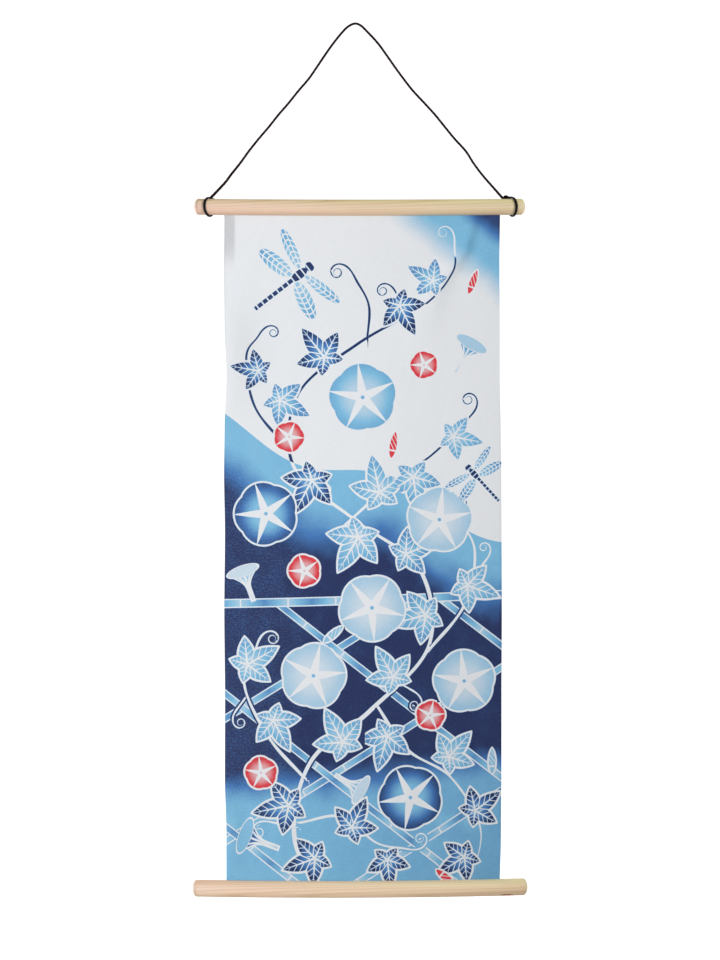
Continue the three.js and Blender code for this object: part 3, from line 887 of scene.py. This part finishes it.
def dragonfly_print(finish, a, b, size, tone, line, rough):
    """A dragonfly from above, with four veined wings."""
    b = abs(b)
    fore = oval(a - 0.16, b, 76, 0.54, 0.5, 0.125)
    hind = oval(a + 0.02, b, 103, 0.5, 0.46, 0.165)
    nearer = hind[0] < fore[0]
    along = finish.between(fore[1], hind[1], nearer)
    off = finish.between(fore[2], hind[2], nearer)
    tail = finish.high(b - 0.042, abs(a + 0.42) - 0.62)
    chest, head = oval(a, b, 0, 0.1, 0.2, 0.09)[0], oval(a, b, 0, 0.37, 0.085, 0.1)[0]
    body = finish.low(finish.low(chest, tail), head) * size + rough * 0.5
    cells = abs((along + off * off * 0.25) / 0.26 % 1 - 0.5) * 0.12 - 0.016
    lengthways = abs(abs(off) - 0.32) * 0.14 - 0.011
    rings = abs(a / 0.13 % 1 - 0.5) * 0.13 - 0.014
    wing = finish.low(fore[0], hind[0]) * size + rough
    cover, dyed = inked(finish, wing, finish.low(cells, lengthways) * size, line, 0.7 * line)
    body_cover, body_dyed = inked(finish, body, rings * size, line, 0)
    shade = dyed * tone * (0.75 + 0.4 * finish.step(along, -0.6, 0.9))
    return finish.high(cover, body_cover), finish.between(shade, body_dyed, body_cover)


def bloom_print(finish, line, rough):
    """The flowers, buds and dragonflies: cover, tone and how red."""
    a, b, _ = finish.uv("Bloom")
    size, tone, kind = finish.fact("bloom_facts")
    a, b = a / size, b / size
    red = tone > 1.5
    deep = finish.between(tone, 0.92, red)
    drawings = {FACE_ON: face_on_print, SIDE_ON: side_on_print, BUD: bud_print, DRAGONFLY: dragonfly_print}
    cover = shade = 0.0
    for number, drawing in drawings.items():
        chosen = finish.maths("COMPARE", kind, number, 0.4)
        one_cover, one_shade = drawing(finish, a, b, size, deep, line, rough)
        cover = cover + one_cover * chosen
        shade = shade + one_shade * chosen
    return cover, shade, red


def fence_print(finish, u, v, line, rough):
    """A slanting bamboo fence under one level rail: cover and tone."""
    below = finish.step(v, FENCE_TOP, FENCE_TOP + 0.5 * MM)
    cover = tone = None
    for turn in (*FENCE_TURNS, 90):
        across, along = turned(u, v, turn)
        if turn == 90:
            distance = abs(across - FENCE_TOP + 0.03 * u) - RAIL
        else:
            distance = abs(across / FENCE_SPACING % 1 - 0.5) * FENCE_SPACING - POLE
        from_joint = abs(along / JOINT_SPACING % 1 - 0.5)
        joint = from_joint * JOINT_SPACING - 0.8 * MM
        one_cover, dyed = inked(finish, distance + rough, joint, 0.6 * line, 0.6 * line)
        one_tone = dyed * (0.3 + 0.72 * from_joint)
        if turn != 90:
            one_cover = one_cover * below
        tone = one_tone if tone is None else finish.between(tone, one_tone, one_cover)
        cover = one_cover if cover is None else finish.high(cover, one_cover)
    return cover, tone


def ground_tone(finish, u, v):
    """Poured dye: white above, light blue and indigo aslant below it, light blue again at the foot."""
    place = finish.join(u, v)
    drift = finish.noise(place, 7, 3, 0.6) - 0.5
    wave = BLUE_WAVE * finish.maths("SINE", u * 26 + 0.6)
    below = v - BLUE_SLOPE * u - BLUE_START + wave
    deep = finish.step(below + drift * 0.09, 0.035, 0.12)
    tone = finish.step(below, -0.5 * MM, 0.5 * MM) * (BLUE_TONE + (1 - BLUE_TONE) * deep)
    from_corner = (0.184 - u) * 0.9 + v * 1.05 + drift * 0.05
    haze = BLUE_TONE * (1 - finish.step(from_corner, 0.085, 0.15))
    haze = haze + (HAZE_TONE - BLUE_TONE) * (1 - finish.step(from_corner, 0.025, 0.065))
    tone = finish.high(tone, haze)
    foot = v - FOOT_SLOPE * u - FOOT_START + drift * 0.06
    foot_tone = FOOT_TONE + 0.05 * finish.step(u, -0.1, 0.1)
    tone = finish.between(tone, foot_tone, finish.step(foot, -0.012, 0.045))
    pale = finish.step(drift, 0.1, 0.26) * finish.step(v, 0.45, 0.55)
    return tone * (1 - 0.38 * pale)


def cotton_finish():
    """Plain-weave cotton with poured dye, the same on both faces."""
    settings = bpy.context.scene.tenugui_cloth
    finish = Finish(
        "Dyed Cotton", Roughness=0.92, Specular_IOR_Level=0.2, Sheen_Weight=0.08, Sheen_Roughness=0.6)
    u, v, _ = finish.uv("Cloth")
    place = finish.join(u, v)
    rough = (finish.noise(place, 1100, 2, 0.6) - 0.5) * CREEP
    line = settings.outline
    tone = ground = ground_tone(finish, u, v)
    side, half, _ = finish.uv("Vine")
    vine = abs(side) - half
    drawn = finish.within(vine + rough * 0.6)
    fence, fence_tone = fence_print(finish, u, v, line, rough)
    tone = finish.between(tone, fence_tone, fence * (1 - finish.within(vine - VINE_RIM, 0.3 * MM)))
    # A vine is indigo on white cotton, and undyed on dyed cotton
    tone = finish.between(tone, 1 - finish.step(ground, 0.2, 0.26), drawn)
    leaf, leaf_tone = leaf_print(finish, line, rough)
    tone = finish.between(tone, leaf_tone, leaf)
    bloom, bloom_tone, red = bloom_print(finish, line, rough)
    tone = finish.between(tone, bloom_tone, bloom)
    # Both selvedges are woven denser: less mottled and deeper dyed. The darker band along them in the colour
    # is painted shade of the edge.
    from_edge = finish.low(u - SELVEDGES[0], SELVEDGES[1] - u)
    selvedge = 1 - finish.step(from_edge, 0.6 * MM, 2.4 * MM)
    warp = finish.streaks(u * 950, v * 130, roughness=0.6)
    weft = finish.streaks(u * 110, v * 1000, roughness=0.6)
    slub = (warp + weft - 1) * (1 - 0.6 * selvedge)
    blotch = finish.noise(place, 34, 3, 0.6) - 0.5
    # The dye took less evenly towards the left
    uneven = 0.25 + 0.75 * (1 - finish.step(u + blotch * 0.1, -0.125, -0.05))
    fleck = finish.streaks(u * 560, v * 420, detail=3, roughness=0.7) - 0.5
    mottle = (slub * 0.5 + fleck) * uneven
    strength = 0.94 + mottle * 0.45 + slub * 0.06 + blotch * 0.14 - 0.02 * uneven + 0.05 * selvedge
    tone = finish.limit(tone * strength)
    white = (0.0, settings.white)
    blues = (white, (0.42, settings.light_blue), (0.7, settings.mid_blue), (0.93, settings.indigo))
    reds = (white, (0.8, settings.red), (1.0, settings.red))
    blue, redder = [
        finish.node("ShaderNodeValToRGB", {"stops": stops}, {"Fac": tone}) for stops in (blues, reds)]
    dyed = finish.mix(bloom * red, blue, redder)
    thin = finish.streaks(u * 480, v * 640, roughness=0.7) - 0.5
    dyed = finish.mix(finish.limit(thin * tone * tone * uneven * 1.9), dyed, THREAD_GAP)
    # The selvedge band's darkening here is painted shade along the edge
    shade = 1 + slub * (0.08 + 0.7 * tone) - 0.05 * selvedge
    finish.feed(Base_Color=finish.times(dyed, shade))
    thread = math.pi / settings.thread
    weave = finish.maths("SINE", u * thread) * finish.maths("SINE", v * thread)
    # Wrinkles, most of them towards the foot
    lower = 0.3 + 1.5 * finish.step(v, 0.58, 0.86)
    wrinkle = finish.streaks(u * 34 + v * 13, v * 10 - u * 4, roughness=0.45) * lower
    finish.bump(weave * 0.6 + slub * 1.2 + wrinkle * 60, 0.1 * MM, 0.6)
    return finish.material


class TENUGUI_OT_stage(bpy.types.Operator):
    """Adds the camera, the lights and a pale floor"""

    bl_idname = "tenugui.stage"
    bl_label = "Camera and Studio"

    def execute(self, context):
        scene, settings = context.scene, context.scene.tenugui_stage
        camera = bpy.data.objects.new("Camera", bpy.data.cameras.new("Camera"))
        camera.data.lens = settings.lens
        camera.location = settings.eye
        camera.rotation_euler = (math.pi / 2 + settings.pitch, 0, 0)
        scene.collection.objects.link(camera)
        scene.camera = camera
        for name, lamp in LAMPS.items():
            self.light(name, lamp, lamp.share * getattr(settings, lamp.power))
        scene.world = self.surroundings(settings.ambient)
        self.floor(settings.floor_drop)
        self.card()
        scene.view_settings.view_transform = "Standard"
        return {"FINISHED"}

    @staticmethod
    def light(name, lamp, power):
        data = bpy.data.lights.new(name, "AREA")
        data.shape = "RECTANGLE"
        data.energy, data.size, data.size_y = power, *lamp.size
        made = bpy.data.objects.new(name, data)
        made.location = lamp.place
        made.rotation_euler = (LIT_MIDDLE - made.location).to_track_quat("-Z", "Y").to_euler()
        bpy.context.scene.collection.objects.link(made)

    @staticmethod
    def surroundings(ambient):
        """Even light from all round, seen as white."""
        world = bpy.data.worlds.new("Studio")
        world.use_nodes = True
        tree = world.node_tree
        seen = tree.nodes.new("ShaderNodeLightPath").outputs["Is Camera Ray"]
        strength = tree.nodes.new("ShaderNodeMapRange")
        strength.inputs["To Min"].default_value = ambient
        strength.inputs["To Max"].default_value = GROUND_WHITE
        tree.links.new(seen, strength.inputs["Value"])
        tree.nodes["Background"].inputs["Color"].default_value = WHITE
        tree.links.new(strength.outputs[0], tree.nodes["Background"].inputs["Strength"])
        return world

    @staticmethod
    def staged(name, bm, finish):
        """Makes the mesh a part of the studio."""
        mesh = bpy.data.meshes.new(name)
        bm.to_mesh(mesh)
        bm.free()
        mesh.materials.append(finish.material)
        made = bpy.data.objects.new(name, mesh)
        bpy.context.scene.collection.objects.link(made)
        return made

    def floor(self, drop):
        bm = bmesh.new()
        bmesh.ops.create_circle(bm, cap_ends=True, segments=64, radius=9)
        bmesh.ops.translate(bm, verts=bm.verts, vec=(0, 0, -drop))
        finish = Finish("Pale Floor", Roughness=0.9, Emission_Color=WHITE, Emission_Strength=0.75)
        paper = finish.noise(finish.place(), 3)
        finish.feed(Base_Color=finish.mix(paper, (0.86, 0.86, 0.86, 1), (0.92, 0.92, 0.92, 1)))
        self.staged("floor", bm, finish).visible_diffuse = False

    def card(self):
        """A dark card out of the picture, which shades the lower right."""
        bm = bmesh.new()
        bm.faces.new([bm.verts.new((x, FLAG_DEPTH, z)) for x, z in FLAG_OUTLINE])
        finish = Finish("Dark Card", Roughness=1.0, Base_Color=(0.02, 0.02, 0.02, 1))
        self.staged("flag", bm, finish).visible_camera = False


class TENUGUI_OT_cord(bpy.types.Operator):
    """Adds the cord from knot to knot, and the two knots round the elastic"""

    bl_idname = "tenugui.cord"
    bl_label = "Cord and Knots"

    def execute(self, context):
        settings = context.scene.tenugui_cord
        line = smooth_route(np.array(CORD_ROUTE) * MM, 0.65 * MM)
        bm = bmesh.new()
        strand_tube(bm, line, settings.radius, settings.ply_length, swell=CORD_SWELL)
        closed_and_outward(bm)
        cord = finished("cord", bm, cord_finish("Dark Cord"), "cord", "hanging_cord")
        knots = [self.knot(side) for side in LOOPS]
        return {"FINISHED"}

    def knot(self, side):
        """Two turns round the elastic. The right knot has a short tail."""
        settings, loop = bpy.context.scene.tenugui_cord, LOOPS[side]
        strand = settings.elastic_radius + settings.radius + 0.1 * MM
        pitch = 2.15 * settings.radius
        turns = np.linspace(-KNOT_TURNS, KNOT_TURNS, 64)
        # Degrees about the rod for each turn of the knot
        spread = math.degrees(pitch / (bpy.context.scene.tenugui_rod.radius + 4 * MM))
        away, across = outward(loop.knot_at), np.array([1.0, 0, 0])
        angle = (math.tau * turns + (0 if side == "left" else math.pi))[:, None]
        wraps = loop_line(loop, loop.knot_at + turns * spread)
        wraps += strand * (away * np.cos(angle) + across * np.sin(angle))
        routes = [(wraps, np.cross(away, across))]
        if side == "right":
            routes.append((np.array(TAIL_ROUTE) * MM, (0, 1, 0)))
        bm = bmesh.new()
        for route, side_way in routes:
            strand_tube(bm, smooth_route(route, 0.5 * MM), settings.radius, settings.ply_length, side_way)
        closed_and_outward(bm)
        return finished(f"{side}_knot", bm, cord_finish(f"Dark Cord {side}"), "cord", f"cord_knot_{side}")


class TENUGUI_OT_loops(bpy.types.Operator):
    """Adds the two elastic loops round the top rod"""

    bl_idname = "tenugui.loops"
    bl_label = "Elastic Loops"

    def execute(self, context):
        settings = context.scene.tenugui_cord
        material = elastic_finish()
        for side, loop in LOOPS.items():
            bm = bmesh.new()

            def place(share, round_share, loop=loop):
                turn, angle = 360 * share, math.tau * round_share[:, None]
                ring = outward(turn) * settings.elastic_flat * np.cos(angle)
                ring += np.array([1.0, 0, 0]) * np.sin(angle)
                return loop_line(loop, turn % 360) + settings.elastic_radius * ring

            rolled_tube(bm, LOOP_STEPS, STRAND_SIDES, place)
            bmesh.ops.recalc_face_normals(bm, faces=bm.faces)
            finished(f"{side}_elastic", bm, material, "elastic", f"elastic_loop_{side}")
        return {"FINISHED"}


class TENUGUI_OT_rods(bpy.types.Operator):
    """Adds the two slotted wooden rods"""

    bl_idname = "tenugui.rods"
    bl_label = "Wooden Rods"

    def execute(self, context):
        for name, rod in RODS.items():
            dowel(name, rod)
        return {"FINISHED"}


class TENUGUI_OT_cloth(bpy.types.Operator):
    """Adds the dyed cotton, in the folds in which it hangs"""

    bl_idname = "tenugui.cloth"
    bl_label = "Dyed Cotton"

    def execute(self, context):
        settings = context.scene.tenugui_cloth
        height = ROD_SPACING + 2 * GRIP
        bm = bmesh.new()
        bm.loops.layers.uv.new("Cloth")
        bmesh.ops.create_grid(
            bm, x_segments=round(CLOTH_WIDTH / settings.step), y_segments=round(height / settings.step),
            size=0.5, calc_uvs=True)
        flat = np.array([vert.co for vert in bm.verts]) + 0.5
        down = 1 - flat[:, 1]
        drop = (down * height - GRIP) / MM
        left, right = eased(drop, OUTLINE_DROP, OUTLINE_LEFT), eased(drop, OUTLINE_DROP, OUTLINE_RIGHT)
        x = left + (right - left) * np.interp(flat[:, 0], *CLOSE_COLUMNS)
        top = axis_height(RODS["top_rod"], x * MM) + GRIP
        bottom = axis_height(RODS["bottom_rod"], x * MM) - ROD_SPACING - GRIP
        z = top + (bottom - top) * down
        depth = cloth_depth(x, z / MM) * MM
        for vert, a, b, c in zip(bm.verts, x * MM + RODS_ACROSS, depth, z - TOP_ROD_DROP):
            vert.co = (a, b, c)
        bmesh.ops.recalc_face_normals(bm, faces=bm.faces)
        for edge in bm.edges:
            edge.smooth = not edge.is_boundary
        piece = finished("cotton", bm, cotton_finish(), "dyed_cotton", "cloth")
        print_grid(piece.data, np.stack([x, drop], axis=1))
        shell = piece.modifiers.new("Thickness", "SOLIDIFY")
        shell.thickness, shell.offset = settings.thickness, 0
        return {"FINISHED"}


class TENUGUI_PT_panel(bpy.types.Panel):
    """Lists the pieces and their settings"""

    bl_idname = "TENUGUI_PT_panel"
    bl_label = "Hanging Tenugui"
    bl_space_type = "VIEW_3D"
    bl_region_type = "UI"
    bl_category = "Tenugui"

    def draw(self, context):
        for kind in OPERATORS:
            self.layout.operator(kind.bl_idname)
        for group in SETTINGS:
            settings = getattr(context.scene, group)
            for name in settings.bl_rna.properties.keys():
                if name not in ("rna_type", "name"):
                    self.layout.prop(settings, name)


SETTINGS = {
    "tenugui_stage": StageSettings,
    "tenugui_cord": CordSettings,
    "tenugui_rod": RodSettings,
    "tenugui_cloth": ClothSettings,
}
OPERATORS = (TENUGUI_OT_stage, TENUGUI_OT_cord, TENUGUI_OT_rods, TENUGUI_OT_loops, TENUGUI_OT_cloth)
CLASSES = (*SETTINGS.values(), *OPERATORS, TENUGUI_PT_panel)


def register():
    for made in CLASSES:
        bpy.utils.register_class(made)
    for name, group in SETTINGS.items():
        setattr(bpy.types.Scene, name, bpy.props.PointerProperty(type=group))


def unregister():
    for name in SETTINGS:
        delattr(bpy.types.Scene, name)
    for made in reversed(CLASSES):
        bpy.utils.unregister_class(made)


def main():
    register()
    bpy.ops.tenugui.stage()
    bpy.ops.tenugui.cord()
    bpy.ops.tenugui.rods()
    bpy.ops.tenugui.loops()
    bpy.ops.tenugui.cloth()


if __name__ == "__main__":
    main()
